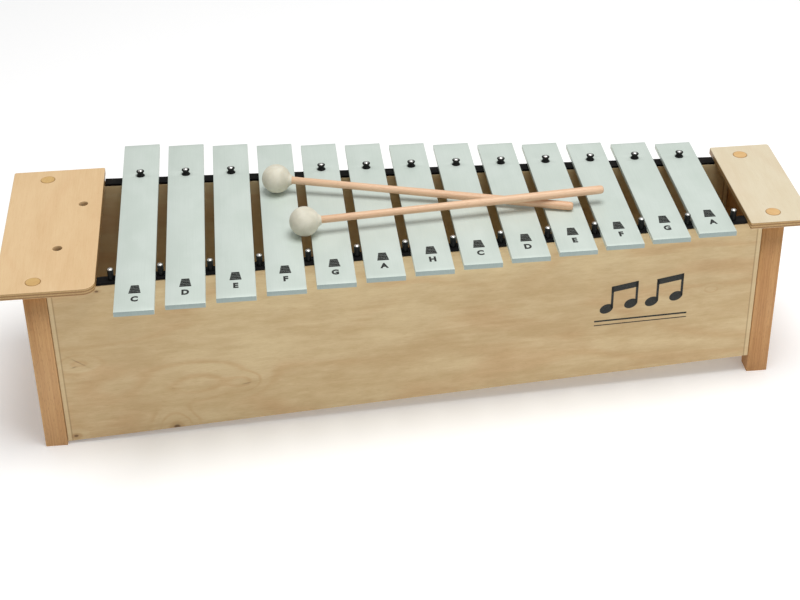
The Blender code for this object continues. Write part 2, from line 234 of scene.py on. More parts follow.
soft_light("overhead_panel", 40.0, 1.5, place=(0.25, -0.15, 2.4), aim=(0.0, 0.0, 0.1))
soft_light("front_light", 2.6, 0.7, place=(0.8, -1.3, 0.62), aim=(0.1, 0.0, 0.1))

camera = in_scene("camera", bpy.data.cameras.new("camera"))
camera.data.lens = CAMERA_LENS
camera.location = CAMERA_PLACE
camera_turn = (CAMERA_AIM - CAMERA_PLACE).to_track_quat("-Z", "Y").to_matrix()
camera.rotation_euler = (camera_turn @ Matrix.Rotation(CAMERA_LEAN, 3, "Z")).to_euler()
bpy.context.scene.camera = camera


# End boards -----------------------------------------------------------
# Two solid beech boards that close the resonator and carry it. The grain stands upright; a low
# arch is sawn between the two feet, and all the edges are eased with sandpaper.

ARCH_HEIGHT = 0.016
ARCH_SHOULDER = 0.014
FOOT_WIDTH = 0.018
EASED_EDGE = 0.0006
UPRIGHT = (0.0, -math.pi / 2, 0.0)  # turns a pattern's grain to stand along Z


def arc(x, y, radius_x, radius_y, start, end, steps):
    """Points along part of an ellipse, from the angle start to the angle end, in degrees."""
    angles = [math.radians(start + (end - start) * i / steps) for i in range(steps + 1)]
    return [(x + radius_x * math.cos(a), y + radius_y * math.sin(a)) for a in angles]


def shown(name, mesh, material):
    """A piece of the object: a mesh with its finish laid on."""
    mesh.materials.clear()
    mesh.materials.append(material)
    return in_scene(name, mesh)


def merged(mesh):
    """Closes a mesh's seams and turns its faces outwards."""
    cage = bmesh.new()
    cage.from_mesh(mesh)
    bmesh.ops.remove_doubles(cage, verts=cage.verts, dist=1e-6)
    bmesh.ops.recalc_face_normals(cage, faces=cage.faces)
    cage.to_mesh(mesh)
    cage.free()
    return mesh


def worked_out(guide):
    """The plain mesh that a curve, a text or a modifier comes to."""
    bpy.context.view_layer.update()
    graph = bpy.context.evaluated_depsgraph_get()
    return bpy.data.meshes.new_from_object(guide.evaluated_get(graph))


def sawn(name, outlines, thickness, edge):
    """The mesh of a flat board: its outline, then its holes, with the edges eased all round."""
    curve = bpy.data.curves.new(name, "CURVE")
    curve.dimensions = "2D"
    curve.fill_mode = "BOTH"
    curve.extrude = thickness / 2 - edge
    curve.bevel_depth = edge
    curve.bevel_resolution = 2
    curve.offset = -edge
    for outline in outlines:
        spline = curve.splines.new("POLY")
        spline.points.add(len(outline) - 1)
        for point, (x, y) in zip(spline.points, outline):
            point.co = (x, y, 0.0, 1.0)
        spline.use_cyclic_u = True
    guide = in_scene(name, curve)
    mesh = merged(worked_out(guide))
    bpy.data.objects.remove(guide)
    bpy.data.curves.remove(curve)
    mesh.name = name
    return mesh


# The grain of beech: its size along the grain and across it, both ways, in metres.
BEECH_BANDS = (0.35, 0.007, 0.02)
BEECH_BREADTH = (0.30, 0.045, 0.05)
BEECH_LINES = (0.30, 0.0016, 0.0016)
BEECH_FIBRES = (0.018, 0.0004, 0.0004)
BEECH_RAYS = (0.0075, 0.0011, 0.0011)
BEECH_RELIEF = 0.00006  # how deep the fibres and rays stand


def beech(name, turn, centre, pale, dark, fleck, **fixed):
    """Beech along a turned grain: faint growth bands and the short dark flecks of its rays."""
    wood = Finish(name, **fixed)
    bands = wood.cloud(wood.laid(BEECH_BANDS, centre, turn), 3.0, 0.6, 0.4)
    broad = wood.cloud(wood.laid(BEECH_BREADTH, centre, turn), 1.0)
    fibres = wood.cloud(wood.laid(BEECH_FIBRES, centre, turn), 3.0, 0.6)
    ray = wood.rise(wood.cells(wood.laid(BEECH_RAYS, centre, turn)), 0.30, 0.16)
    lines = wood.cloud(wood.laid(BEECH_LINES, centre, turn), 2.0, 0.6, 0.1)
    tone = wood.rise(bands * 0.50 + broad * 0.35 + lines * 0.15, 0.36, 0.62)
    colour = wood.mix(tone, dark, pale)
    colour = wood.mix(wood.rise(lines, 0.58, 0.40) * 0.18, colour, dark, "MULTIPLY")
    colour = wood.mix(wood.rise(fibres, 0.62, 0.38) * 0.22, colour, dark, "MULTIPLY")
    colour = wood.mix(ray * 0.35, colour, fleck)
    return wood.give(colour, 0.46 + 0.16 * fibres, fibres + ray * -0.4, BEECH_RELIEF)


BEECH_FLECK = tint(140, 96, 58)
END_SHADES = {
    "left": (tint(208, 166, 114), tint(196, 150, 100)),
    "right": (tint(203, 155, 101), tint(188, 138, 84)),
}
end_board_depths = {}
for side, (pale, dark) in END_SHADES.items():
    node = side + "_end_board"
    low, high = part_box(node)
    depth = high.y
    end_board_depths[side] = (depth, (low.x + high.x) / 2)
    spring = depth - FOOT_WIDTH - ARCH_SHOULDER
    shoulder = arc(-spring, 0.0, -ARCH_SHOULDER, ARCH_HEIGHT, 0, 90, 12)
    arch = shoulder + [(-y, z) for y, z in reversed(shoulder)]
    outline = [(depth, high.z), (-depth, high.z), (-depth, low.z), *arch, (depth, low.z)]
    board = sawn(node, [outline], high.x - low.x, EASED_EDGE)
    middle = (low.x + high.x) / 2
    stood_up = Matrix(((0, 0, 1, middle), (1, 0, 0, 0), (0, 1, 0, 0), (0, 0, 0, 1)))
    board.transform(stood_up)
    centre = (low.x, 0.31, 0.0)
    end_finish = beech(side + "_end_beech", UPRIGHT, centre, pale, dark, BEECH_FLECK)
    end_board = shown(node + "_beech", board, end_finish)
    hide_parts(node)
    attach(end_board, "frame")


# Long panels ----------------------------------------------------------
# The front and back of the resonator, of birch plywood twelve millimetres thick, glued between
# the end boards. The face veneer is peeled from the log, so its figure runs in wide loops.

PANEL_THICK = 0.012
PANEL_PLIES = 9
LIPPING = 0.0045  # width of the solid strip glued over the plies at each end of a panel
BOARD_PROUD = 0.001  # the end boards stand this far out of the panels

left_depth, left_middle = end_board_depths["left"]
right_depth, right_middle = end_board_depths["right"]
taper = (left_depth - right_depth) / (right_middle - left_middle)
middle_depth = left_depth - BOARD_PROUD + taper * left_middle


def plies(wood, through, count):
    """0 in every other ply and 1 in those between, from the share of the way through the sheet."""
    return wood.rise(wood.zigzag(through * count), 0.46, 0.54)


# The grain of peeled birch: its size along the grain and across it, both ways, in metres.
VENEER_STREAKS = (0.10, 0.0045, 0.0045)
VENEER_SOFT = (0.16, 0.03, 0.03)
VENEER_BREADTH = (0.45, 0.2, 0.2)
VENEER_CLOUDS = (0.030, 0.010, 0.010)
VENEER_FIBRES = (0.022, 0.00045, 0.00045)
VENEER_PORES = (0.006, 0.0005, 0.0005)
GROWTH_LINE = tint(218, 166, 122)
LENGTHWISE = (0.0, 0.0, 0.0)  # leaves a pattern's grain running along X


def veneer(wood, turn, centre, pale, dark, loops, spread, figure=1.0, lift=()):
    """Peeled birch: contour lines of a wide swelling surface, with fine fibres along the grain.
    Each lift is a place where the surface swells: its centre, its reach and its height."""
    swell = wood.cloud(wood.laid(spread, centre, turn), 1.5, 0.4, 0.35)
    for place, reaches, height in lift:
        far = wood.distance(wood.laid(reaches, place))
        swell = swell + wood.rise(far, 1.0, 0.0) * height
    streaks = wood.cloud(wood.laid(VENEER_STREAKS, centre, turn), 3.0, 0.6, 0.2)
    late = wood.rise(wood.zigzag((swell + (streaks - 0.5) * 0.05) * loops), 0.5, 1.0)
    soft = wood.cloud(wood.laid(VENEER_SOFT, centre, turn), 3.0, 0.55, 0.3)
    broad = wood.cloud(wood.laid(VENEER_BREADTH, centre, turn), 1.0)
    cloudy = wood.cloud(wood.laid(VENEER_CLOUDS, centre, turn), 3.0, 0.6, 0.4)
    fibres = wood.cloud(wood.laid(VENEER_FIBRES, centre, turn), 3.0, 0.6)
    pores = wood.cloud(wood.laid(VENEER_PORES, centre, turn), 1.0)
    tone = wood.rise(soft * 0.35 + broad * 0.25 + streaks * 0.15 + cloudy * 0.25, 0.36, 0.64)
    colour = wood.mix(tone, dark, pale)
    fade = wood.rise(soft, 0.36, 0.58)
    colour = wood.mix(late * (0.05 + 0.20 * fade) * figure, colour, GROWTH_LINE, "MULTIPLY")
    colour = wood.mix(wood.rise(fibres, 0.60, 0.40) * 0.12, colour, dark, "MULTIPLY")
    colour = wood.mix(wood.rise(pores, 0.66, 0.74) * 0.20, colour, dark, "MULTIPLY")
    return colour, fibres


# Loops of the front veneer: each one's centre, its reach each way and how far it swells.
FRONT_FIGURE = (
    ((-0.205, 0.0, 0.057), (0.085, 1.0, 0.034), 0.34),
    ((-0.234, 0.0, 0.005), (0.030, 1.0, 0.040), 0.42),
    ((-0.164, 0.0, 0.050), (0.026, 1.0, 0.018), 0.20),
    ((-0.330, 0.0, 0.008), (0.016, 1.0, 0.010), 0.20),
    ((-0.318, 0.0, 0.093), (0.030, 1.0, 0.014), 0.24),
    ((0.293, 0.0, 0.104), (0.014, 1.0, 0.008), 0.22),
)
# Pin knots and short tears: place along the panel, height, reach each way, lean, and how dark.
BACK_MARKS = ((0.11, 0.052, 0.003, 0.002, 0.0, 0.8),)
FRONT_MARKS = (
    (-0.2338, 0.0072, 0.0042, 0.0028, 0.0, 0.85),
    (-0.3302, 0.0085, 0.0030, 0.0020, 0.0, 0.80),
    (-0.2933, 0.1690, 0.0024, 0.0015, 0.0, 0.80),
    (-0.3183, 0.0930, 0.0100, 0.0007, 0.65, 0.35),
    (-0.3230, 0.0880, 0.0030, 0.0008, -0.3, 0.35),
    (-0.1637, 0.0495, 0.0060, 0.0008, -0.15, 0.30),
)
MARK_HALO = tint(150, 112, 66)
MARK_CORE = tint(92, 62, 36)
# For each panel: its side, its figure and marks, the centre of its pattern, and its two shades.
PANELS = {
    "front": (
        -1,
        FRONT_FIGURE,
        FRONT_MARKS,
        (0.37, 0.11, 0.21),
        tint(218, 196, 153),
        tint(196, 168, 124),
    ),
    # The back panel's shades are paler than the front's: painted light on the inside of the box.
    "back": (1, (), BACK_MARKS, (1.7, 0.6, 0.43), tint(240, 222, 182), tint(229, 205, 158)),
}


def panel_finish(name, half_length, side, figure, marks, centre, pale, dark):
    wood = Finish(name, Specular_IOR_Level=0.35)
    spread = (0.30, 0.075, 0.075)
    colour, fibres = veneer(wood, LENGTHWISE, centre, pale, dark, 12.0, spread, lift=figure)
    for x, z, along, up, lean, depth in marks:
        far = wood.distance(wood.laid((along, 1.0, up), (x, 0.0, z), (0.0, lean, 0.0)))
        colour = wood.mix(wood.rise(far, 2.4, 0.8) * depth * 0.4, colour, MARK_HALO)
        colour = wood.mix(wood.rise(far, 1.0, 0.4) * depth, colour, MARK_CORE)
    from_end = half_length - abs(wood.split(wood.here, "X"))
    colour = wood.mix(wood.rise(from_end, LIPPING + 0.0003, LIPPING - 0.0003) * 0.5, colour, pale)
    # A soft dark line where the lipping meets the veneer: painted shade of a groove that is not cut in
    # the mesh.
    groove_shade = wood.rise(abs(from_end - LIPPING), 0.0009, 0.0003)
    colour = wood.mix(groove_shade * 0.45, colour, tint(124, 88, 50))
    inward = wood.split(wood.here, "Y") * side + wood.split(wood.here, "X") * taper
    through = (middle_depth - inward) / PANEL_THICK
    face = wood.rise(abs(through - 0.5), 0.43, 0.44)
    edge_grain = wood.cloud(wood.laid((0.0004, 0.0012, 0.0004)), 2.0)
    layer = wood.mix(plies(wood, through, PANEL_PLIES), tint(203, 172, 122), tint(146, 108, 68))
    layer = wood.mix(wood.rise(edge_grain, 0.62, 0.4) * 0.3, layer, tint(120, 86, 52), "MULTIPLY")
    colour = wood.mix(face, layer, colour)
    return wood.give(colour, 0.44 + 0.14 * fibres, fibres, 0.00005)


def slanted(board, side):
    """Moves a straight board out to its side of the box and slants it with the taper."""
    for vertex in board.vertices:
        vertex.co.y += side * (middle_depth - PANEL_THICK / 2 - taper * vertex.co.x)


def points_of(node):
    return [vertex.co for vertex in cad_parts[node].data.vertices]


for place, (side, *looks) in PANELS.items():
    node = place + "_panel"
    low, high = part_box(node)
    right_bottom = min(p.z for p in points_of(node) if p.x > high.x - 0.001)
    outline = [(low.x, low.z), (high.x, right_bottom), (high.x, high.z), (low.x, high.z)]
    board = sawn(node, [outline], PANEL_THICK, EASED_EDGE)
    board.transform(Matrix(((1, 0, 0, 0), (0, 0, -1, 0), (0, 1, 0, 0), (0, 0, 0, 1))))
    slanted(board, side)
    panel = shown(node + "_birch", board, panel_finish(node + "_birch", high.x, side, *looks))
    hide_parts(node)
    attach(panel, "frame")


# Resonator floor ------------------------------------------------------
# A thin sheet of birch plywood, let into a groove round all four boards. It keeps its own plain
# shape and is only given the veneer.

floor_wood = Finish("floor_birch", Specular_IOR_Level=0.3)
# Paler than the front panel: painted light on the inside of the box.
centre, pale, dark = (2.1, 0.9, 0.2), tint(242, 225, 186), tint(230, 206, 160)
floor_colour, floor_fibres = veneer(
    floor_wood, LENGTHWISE, centre, pale, dark, loops=9.0, spread=(0.3, 0.08, 0.08)
)
floor_wood.give(floor_colour, 0.55 + 0.2 * floor_fibres, floor_fibres, 0.00006)
resonator_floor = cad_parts["resonator_floor"]
resonator_floor.data.materials.clear()
resonator_floor.data.materials.append(floor_wood.material)


# Printed ornament -----------------------------------------------------
# A plain musical ornament screen-printed in black on the front panel: two pairs of beamed notes
# over two ruled lines. The ink stands a few hundredths of a millimetre proud of the veneer.

INK_THICK = 0.00006
INK_LIFT = 0.00002
NOTE_SIZE = 0.0255
NOTE_PLACES = ((0.1885, 0.0890), (0.2335, 0.0925))
RULED_ENDS = (0.1770, 0.2700)
RULED_LINES = ((0.0785, 0.0803), (0.0741, 0.0751))

# A pair of notes, in shares of the note size.
HEAD_HEIGHT = 0.16
HEAD_REACH = (0.27, 0.20)
HEAD_SLANT = math.radians(24)
STEM_PLACE = 0.165
STEM_WIDTH = 0.095
STEM_HEIGHT = 0.98
PAIR_GAP = 0.95
PAIR_RISE = 0.14
BEAM_THICK = 0.26


def printing_ink(name, grain, start, dark, pale):
    """An ink with thin patches: a patch's size, where the thinning starts, and the two shades."""
    ink = Finish(name, Specular_IOR_Level=0.4)
    patches = ink.cloud(ink.laid((grain, grain, grain)), 2.0)
    colour = ink.mix(ink.rise(patches, start, 0.7), dark, pale)
    return ink.give(colour, 0.5 + 0.2 * patches, patches, 0.00001)


def note_pair(x, base, size):
    """Outlines of two beamed notes: tilted oval heads, upright stems and a rising beam."""
    shapes = []
    cosine, sine = math.cos(HEAD_SLANT), math.sin(HEAD_SLANT)
    oval = arc(0.0, 0.0, HEAD_REACH[0] * size, HEAD_REACH[1] * size, 0, 345, 23)
    for offset, lift in ((0.0, 0.0), (PAIR_GAP, PAIR_RISE)):
        head_x, head_y = x + offset * size, base + (HEAD_HEIGHT + lift) * size
        shapes.append(
            [(head_x + u * cosine - v * sine, head_y + u * sine + v * cosine) for u, v in oval]
        )
        stem = head_x + STEM_PLACE * size
        top = head_y + STEM_HEIGHT * size
        width = STEM_WIDTH * size
        shapes.append([(stem, head_y), (stem + width, head_y), (stem + width, top), (stem, top)])
    first = x + STEM_PLACE * size
    last = first + (PAIR_GAP + STEM_WIDTH) * size
    low = base + (HEAD_HEIGHT + STEM_HEIGHT) * size
    high = low + PAIR_RISE * (last - first) / PAIR_GAP
    thick = BEAM_THICK * size
    shapes.append([(first, low - thick), (last, high - thick), (last, high), (first, low)])
    return shapes


def printed(cage, lower, upper, slot=0):
    """Adds a closed, flat print between two outlines to a mesh that is being built."""
    rings = [[cage.verts.new(point) for point in outline] for outline in (lower, upper)]
    faces = [cage.faces.new(rings[0][::-1]), cage.faces.new(rings[1])]
    for i in range(len(lower)):
        j = (i + 1) % len(lower)
        faces.append(cage.faces.new((rings[0][i], rings[0][j], rings[1][j], rings[1][i])))
    for face in faces:
        face.material_index = slot


black_ink = printing_ink("black_ink", 0.0009, 0.4, tint(28, 30, 28), tint(52, 54, 50))

ornament_shapes = [shape for x, base in NOTE_PLACES for shape in note_pair(x, base, NOTE_SIZE)]
left, right = RULED_ENDS
for foot, top in RULED_LINES:
    ornament_shapes.append([(left, foot), (right, foot), (right, top), (left, top)])
cage = bmesh.new()
for shape in ornament_shapes:
    levels = [
        [(x, taper * x - middle_depth - lift, z) for x, z in shape]
        for lift in (INK_LIFT, INK_LIFT + INK_THICK)
    ]
    printed(cage, *levels)
bmesh.ops.recalc_face_normals(cage, faces=cage.faces)
ornament_mesh = bpy.data.meshes.new("panel_ornament")
cage.to_mesh(ornament_mesh)
cage.free()
ornament = shown("panel_ornament", ornament_mesh, black_ink)
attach(ornament, "frame")


# End plates -----------------------------------------------------------
# Birch plywood plates, seven millimetres thick, screwed down on the end boards. They overhang as
# carrying grips. The left one is drilled twice, for a spare accidental bar's pegs.

PLATE_PLIES = 5
PEG_HOLE_RADIUS = 0.0045
PEG_HOLES = ((-0.3113, 0.0429), (-0.3311, -0.0395))
PLATE_EDGE = 0.0007
PLUG_CLEARANCE = 0.0001
ALONG_Y = (0.0, 0.0, math.pi / 2)  # turns a pattern's grain to run from front to back


def plate_finish(name, bottom, top, holes, pale, dark, centre):
    wood = Finish(name, Specular_IOR_Level=0.4)
    spread = (0.26, 0.09, 0.09)
    colour, fibres = veneer(wood, ALONG_Y, centre, pale, dark, 8.0, spread, figure=0.3)
    through = (wood.split(wood.here, "Z") - bottom) / (top - bottom)
    edge_grain = wood.cloud(wood.laid((0.0012, 0.0012, 0.0004)), 2.0)
    # The plies on the plate's edges: their own darker tone, darkened further as painted shade on the
    # edge faces.
    layer = wood.mix(plies(wood, through, PLATE_PLIES), tint(198, 164, 112), tint(158, 120, 76))
    layer = wood.mix(wood.rise(edge_grain, 0.62, 0.4) * 0.25, layer, tint(130, 96, 58), "MULTIPLY")
    # The walls of the peg holes are painted pale: a painted highlight where light falls on their far
    # side.
    for x, y in holes:
        far = wood.distance(wood.laid((PEG_HOLE_RADIUS, PEG_HOLE_RADIUS, 1.0), (x, y, 0.0)))
        layer = wood.mix(wood.rise(far, 1.6, 1.3) * 0.8, layer, pale)
    colour = wood.mix(wood.rise(abs(through - 0.5), 0.42, 0.46), layer, colour)
    return wood.give(colour, 0.40 + 0.12 * fibres, fibres, 0.00004)


def circle(x, y, radius, steps=40):
    return arc(x, y, radius, radius, 0, 360 * (steps - 1) / steps, steps - 1)


def lying(name, outlines, bottom, top, edge):
    """The mesh of a flat board that lies between two heights."""
    board = sawn(name, outlines, top - bottom, edge)
    board.transform(Matrix.Translation((0.0, 0.0, (bottom + top) / 2)))
    return board


# Each plate's two shades and the centre of its pattern.
PLATES = {
    "left": (tint(229, 197, 152), tint(221, 187, 141), (0.55, 0.2, 0.7)),
    "right": (tint(224, 212, 185), tint(218, 203, 173), (1.3, 0.8, 0.1)),
}
# The radii of each plate's corners, from the front left one round.
PLATE_CORNERS = {
    "left": (0.006, 0.012, 0.001, 0.002),
    "right": (0.0015, 0.004, 0.003, 0.001),
}
for side, looks in PLATES.items():
    node = side + "_end_plate"
    low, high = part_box(node)
    places = (
        (low.x, low.y, 1, 1),
        (high.x, low.y, -1, 1),
        (high.x, high.y, -1, -1),
        (low.x, high.y, 1, -1),
    )
    outline = []
    for number, ((x, y, right, up), r) in enumerate(zip(places, PLATE_CORNERS[side])):
        start = 180 + 90 * number
        outline += arc(x + right * r, y + up * r, r, r, start, start + 90, 8)
    pegs = PEG_HOLES if side == "left" else ()
    holes = [circle(x, y, PEG_HOLE_RADIUS) for x, y in pegs]
    for place in ("front", "back"):
        plug_low, plug_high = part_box(f"{side}_{place}_plug")
        middle = (plug_low + plug_high) / 2
        holes.append(circle(middle.x, middle.y, (plug_high.x - plug_low.x) / 2 + PLUG_CLEARANCE))
    board = lying(node, [outline, *holes], low.z, high.z, PLATE_EDGE)
    finish = plate_finish(node + "_birch", low.z, high.z, pegs, *looks)
    plate = shown(node + "_birch", board, finish)
    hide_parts(node)
    side + "_plate"
    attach(plate, "frame")


# Plugs ----------------------------------------------------------------
# Four round birch plugs glued in over the screws that hold the plates, and sanded flush. Their
# grain is turned a different way in each, and they are a shade darker than the plates.

PLUG_DOME = 0.0003
PLUG_RIM = tint(150, 106, 58)
PLUG_SHADES = {
    "left": (tint(216, 180, 118), tint(202, 162, 100)),
    "right": (tint(228, 192, 138), tint(216, 174, 116)),
}
PLUGS = [(side, place) for side in ("left", "right") for place in ("front", "back")]

for number, (side, place) in enumerate(PLUGS):
    node = f"{side}_{place}_plug"
    low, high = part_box(node)
    middle = (low + high) / 2
    radius = (high.x - low.x) / 2
    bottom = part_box(side + "_end_plate")[0].z
    board = lying(node, [circle(middle.x, middle.y, radius)], bottom, high.z, PLUG_DOME)
    pale, dark = PLUG_SHADES[side]
    wood = Finish(node + "_birch", Specular_IOR_Level=0.4)
    turn, centre = (0.0, 0.0, 0.6 + 0.9 * number), (0.3 * number, 0.1, 0.5)
    spread = (0.03, 0.006, 0.006)
    colour, fibres = veneer(wood, turn, centre, pale, dark, 5.0, spread, figure=0.6)
    rim = wood.distance(wood.laid((radius, radius, 1.0), (middle.x, middle.y, high.z)))
    colour = wood.mix(wood.rise(rim, 0.86, 1.0) * 0.5, colour, PLUG_RIM, "MULTIPLY")
    wood.give(colour, 0.42 + 0.1 * fibres, fibres, 0.00004)
    plug = shown(node + "_birch", board, wood.material)
    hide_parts(node)
    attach(plug, "frame")


# Rest strips ----------------------------------------------------------
# Soft black strips of closed-cell rubber, stuck along the top edge of each panel, on which the
# bars lie so that they can ring.

STRIP_EDGE = 0.0004
FOAM_CELL = 0.0007

strip_rubber = Finish("strip_rubber", Specular_IOR_Level=0.2)
cells = strip_rubber.cells(strip_rubber.laid((FOAM_CELL, FOAM_CELL, FOAM_CELL)))
dust = strip_rubber.cloud(strip_rubber.laid((0.02, 0.006, 0.006)), 3.0)
dusty = strip_rubber.rise(dust, 0.45, 0.75)
strip_colour = strip_rubber.mix(dusty, tint(12, 11, 11), tint(34, 32, 30))
strip_rubber.give(strip_colour, 0.75 + 0.2 * dust, cells, 0.0001)
for place, side in (("front", -1), ("back", 1)):
    node = place + "_rest_strip"
    low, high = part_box(node)
    half = PANEL_THICK / 2
    outline = [(low.x, -half), (high.x, -half), (high.x, half), (low.x, half)]
    board = lying(node, [outline], low.z, high.z, STRIP_EDGE)
    slanted(board, side)
    strip = shown(node + "_rubber", board, strip_rubber.material)
    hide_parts(node)
    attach(strip, "frame")


# Guide pins -----------------------------------------------------------
# Nickel-plated steel pins with domed heads, driven into the panels' top edges. One stands on each
# side of every bar at the front, and one goes through the hole at the back of each.

PIN_HEAD_RADIUS = 0.0024
PIN_HEAD_HEIGHT = 0.0022
PIN_SHANK_RADIUS = 0.0015
PIN_TAPER = 0.0015  # height of the pin's pointed foot
DOME_SHARE = 0.55  # of the head's height; the rest is its straight rim
DOME_ANGLES = [math.radians(degrees) for degrees in (0, 15, 30, 45, 60, 75)]


def smoothed(mesh, sharpest):
    """Shades a mesh smoothly, but for edges that turn by more than so many degrees."""
    mesh.shade_smooth()
    mesh.set_sharp_from_angle(angle=math.radians(sharpest))


class Rule(Nodes):
    """A geometry tree with named inputs for its sizes. It makes a plain mesh for each body."""

    KINDS = {float: "NodeSocketFloat", int: "NodeSocketInt", tuple: "NodeSocketVector"}

    def __init__(self, name, sizes):
        super().__init__(bpy.data.node_groups.new(name, "GeometryNodeTree"))
        self.sockets = {}
        interface = self.tree.interface
        for label, value in sizes.items():
            kind = self.KINDS[type(value)]
            socket = interface.new_socket(label, in_out="INPUT", socket_type=kind)
            self.sockets[label] = socket.identifier
            socket.default_value = value
        interface.new_socket("Geometry", in_out="OUTPUT", socket_type="NodeSocketGeometry")
        group = self.tree.nodes.new("NodeGroupInput")
        self.size = {label: Value(self, group.outputs[label]) for label in sizes}

    def vector(self, x, y, z):
        return self.node("ShaderNodeCombineXYZ", {}, {0: x, 1: y, 2: z})

    def pick(self, choices):
        """The choice whose place in the list is the point's own number."""
        index = self.node("GeometryNodeInputIndex", {}, {})
        sockets = {"Index": index, **{str(i): choice for i, choice in enumerate(choices)}}
        settings = {"data_type": "FLOAT", "choices": len(choices)}
        return self.node("GeometryNodeIndexSwitch", settings, sockets)

    def turned(self, profile, sides):
        """A piece turned about Z. The profile's (radius, height) points run from foot to top."""
        heights = self.pick([height for radius, height in profile])
        radii = self.pick([radius for radius, height in profile])
        points = {"Count": len(profile), "Position": self.vector(0.0, 0.0, heights)}
        line = self.node("GeometryNodePoints", {}, points)
        line = self.node("GeometryNodePointsToCurves", {}, {"Points": line})
        shape = {"Resolution": sides, "Radius": 1.0}
        ring = self.node("GeometryNodeCurvePrimitiveCircle", {"mode": "RADIUS"}, shape)
        sockets = {"Curve": line, "Profile Curve": ring, "Scale": radii}
        turned = self.node("GeometryNodeCurveToMesh", {}, sockets)
        return self.node("GeometryNodeMergeByDistance", {}, {"Geometry": turned, "Distance": 1e-7})

    def end(self, geometry, material):
        """Ends the tree: instances made real and the material laid on."""
        geometry = self.node("GeometryNodeRealizeInstances", {}, {"Geometry": geometry})
        sockets = {"Geometry": geometry, "Material": material}
        geometry = self.node("GeometryNodeSetMaterial", {}, sockets)
        output = self.tree.nodes.new("NodeGroupOutput")
        self.tree.links.new(geometry.socket, output.inputs[0])

    def make(self, name, sizes):
        """A piece with these sizes, as a plain mesh with no modifier left on it."""
        start = bpy.data.meshes.new(name + "_start")
        piece = in_scene(name, start)
        modifier = piece.modifiers.new("rule", "NODES")
        modifier.node_group = self.tree
        for label, value in sizes.items():
            modifier[self.sockets[label]] = value
        mesh = worked_out(piece)
        piece.modifiers.remove(modifier)
        piece.data = mesh
        mesh.name = name
        bpy.data.meshes.remove(start)
        return piece


nickel = Finish("pin_nickel", Metallic=1.0)
scuffs = nickel.cloud(nickel.laid((0.0012, 0.0012, 0.0012)), 3.0)
nickel_colour = nickel.mix(scuffs, tint(226, 226, 222), tint(238, 238, 234))
nickel.give(nickel_colour, 0.16 + 0.22 * scuffs, scuffs, 0.00002)

row_sizes = {
    "First": (0.0, 0.0, 0.0),
    "Last": (1.0, 0.0, 0.0),
    "Count": 2,
    "Top": 0.18,
    "Foot": 0.17,
    "Radius": 0.002,
    "Neck": 0.001,
}


def in_a_row(rule, piece):
    """One copy of the piece at each place in a straight row, each turned at random about Z."""
    size = rule.size
    ends = {"Count": size["Count"], "Start Location": size["First"], "Offset": size["Last"]}
    row = rule.node("GeometryNodeMeshLine", {"mode": "END_POINTS"}, ends)
    limits = {0: (0.0, 0.0, -3.0), 1: (0.0, 0.0, 3.0), "Seed": 7}
    turn = rule.node("FunctionNodeRandomValue", {"data_type": "FLOAT_VECTOR"}, limits)
    copies = {"Points": row, "Instance": piece, "Rotation": turn}
    return rule.node("GeometryNodeInstanceOnPoints", {}, copies)


pin_rule = Rule("steel_pin_row", {**row_sizes, "Head height": 0.002})
top, foot, radius, neck = (pin_rule.size[label] for label in ("Top", "Foot", "Radius", "Neck"))
head = pin_rule.size["Head height"]
dome = head * DOME_SHARE
pin_profile = [
    (0.0, foot),
    (neck, foot + PIN_TAPER),
    (neck, top - head),
    (radius * 0.92, top - head + 0.00001),
    (radius, top - head + 0.0001),
    *((radius * math.cos(a), top - dome + dome * math.sin(a)) for a in DOME_ANGLES),
    (0.0, top),
]
pin_rule.end(in_a_row(pin_rule, pin_rule.turned(pin_profile, 20)), nickel.material)


# Sleeves --------------------------------------------------------------
# Short lengths of black rubber tube, pushed over the pins so that the bars don't rattle on the
# steel. The front ones are almost straight. The back ones nearly fill the bars' holes, narrow to
# a waist above the bar and flare to a lip, in which the pin's head nests.

sleeve_rubber = Finish("sleeve_rubber", Specular_IOR_Level=0.25)
sleeve_dust = sleeve_rubber.cloud(sleeve_rubber.laid((0.002, 0.002, 0.004)), 3.0)
sleeve_colour = sleeve_rubber.mix(sleeve_dust, tint(6, 7, 6), tint(20, 21, 19))
sleeve_rubber.give(sleeve_colour, 0.42 + 0.25 * sleeve_dust, sleeve_dust, 0.00006)

sleeve_sizes = {"Waist": 0.003, "Waist height": 0.185, "Lip": 0.003}
sleeve_rule = Rule("sleeve_row", {**row_sizes, **sleeve_sizes})
top, foot, radius, neck = (sleeve_rule.size[label] for label in ("Top", "Foot", "Radius", "Neck"))
waist, waist_height, lip = (sleeve_rule.size[label] for label in sleeve_sizes)
sleeve_profile = [
    (0.0, foot),
    (radius, foot + 0.00001),
    (radius, waist_height - 0.0014),
    (radius * 0.95, waist_height - 0.0011),
    (waist * 1.05, waist_height - 0.0004),
    (waist, waist_height),
    (waist * 0.75 + lip * 0.25, waist_height + 0.0006),
    (lip, top - 0.0006),
    (lip * 1.01, top - 0.0003),
    (lip * 0.97, top - 0.00006),
    (lip * 0.92, top),
    (lip * 0.84, top - 0.0001),
    (neck, top - 0.0007),
    (0.0, top - 0.00072),
]
sleeve = sleeve_rule.turned(sleeve_profile, 28)
sleeve_rule.end(in_a_row(sleeve_rule, sleeve), sleeve_rubber.material)

# Radii of each row's sleeves: in the bar, at the waist above it, and at the lip under the head.
SLEEVES = {"front": (0.0028, 0.0028, 0.0029), "back": (0.0036, 0.0027, 0.0039)}
LIP_DROP = 0.0014  # from the top of the head down to the sleeve's lip
WAIST_DROP = 0.0028  # from the lip down to the waist

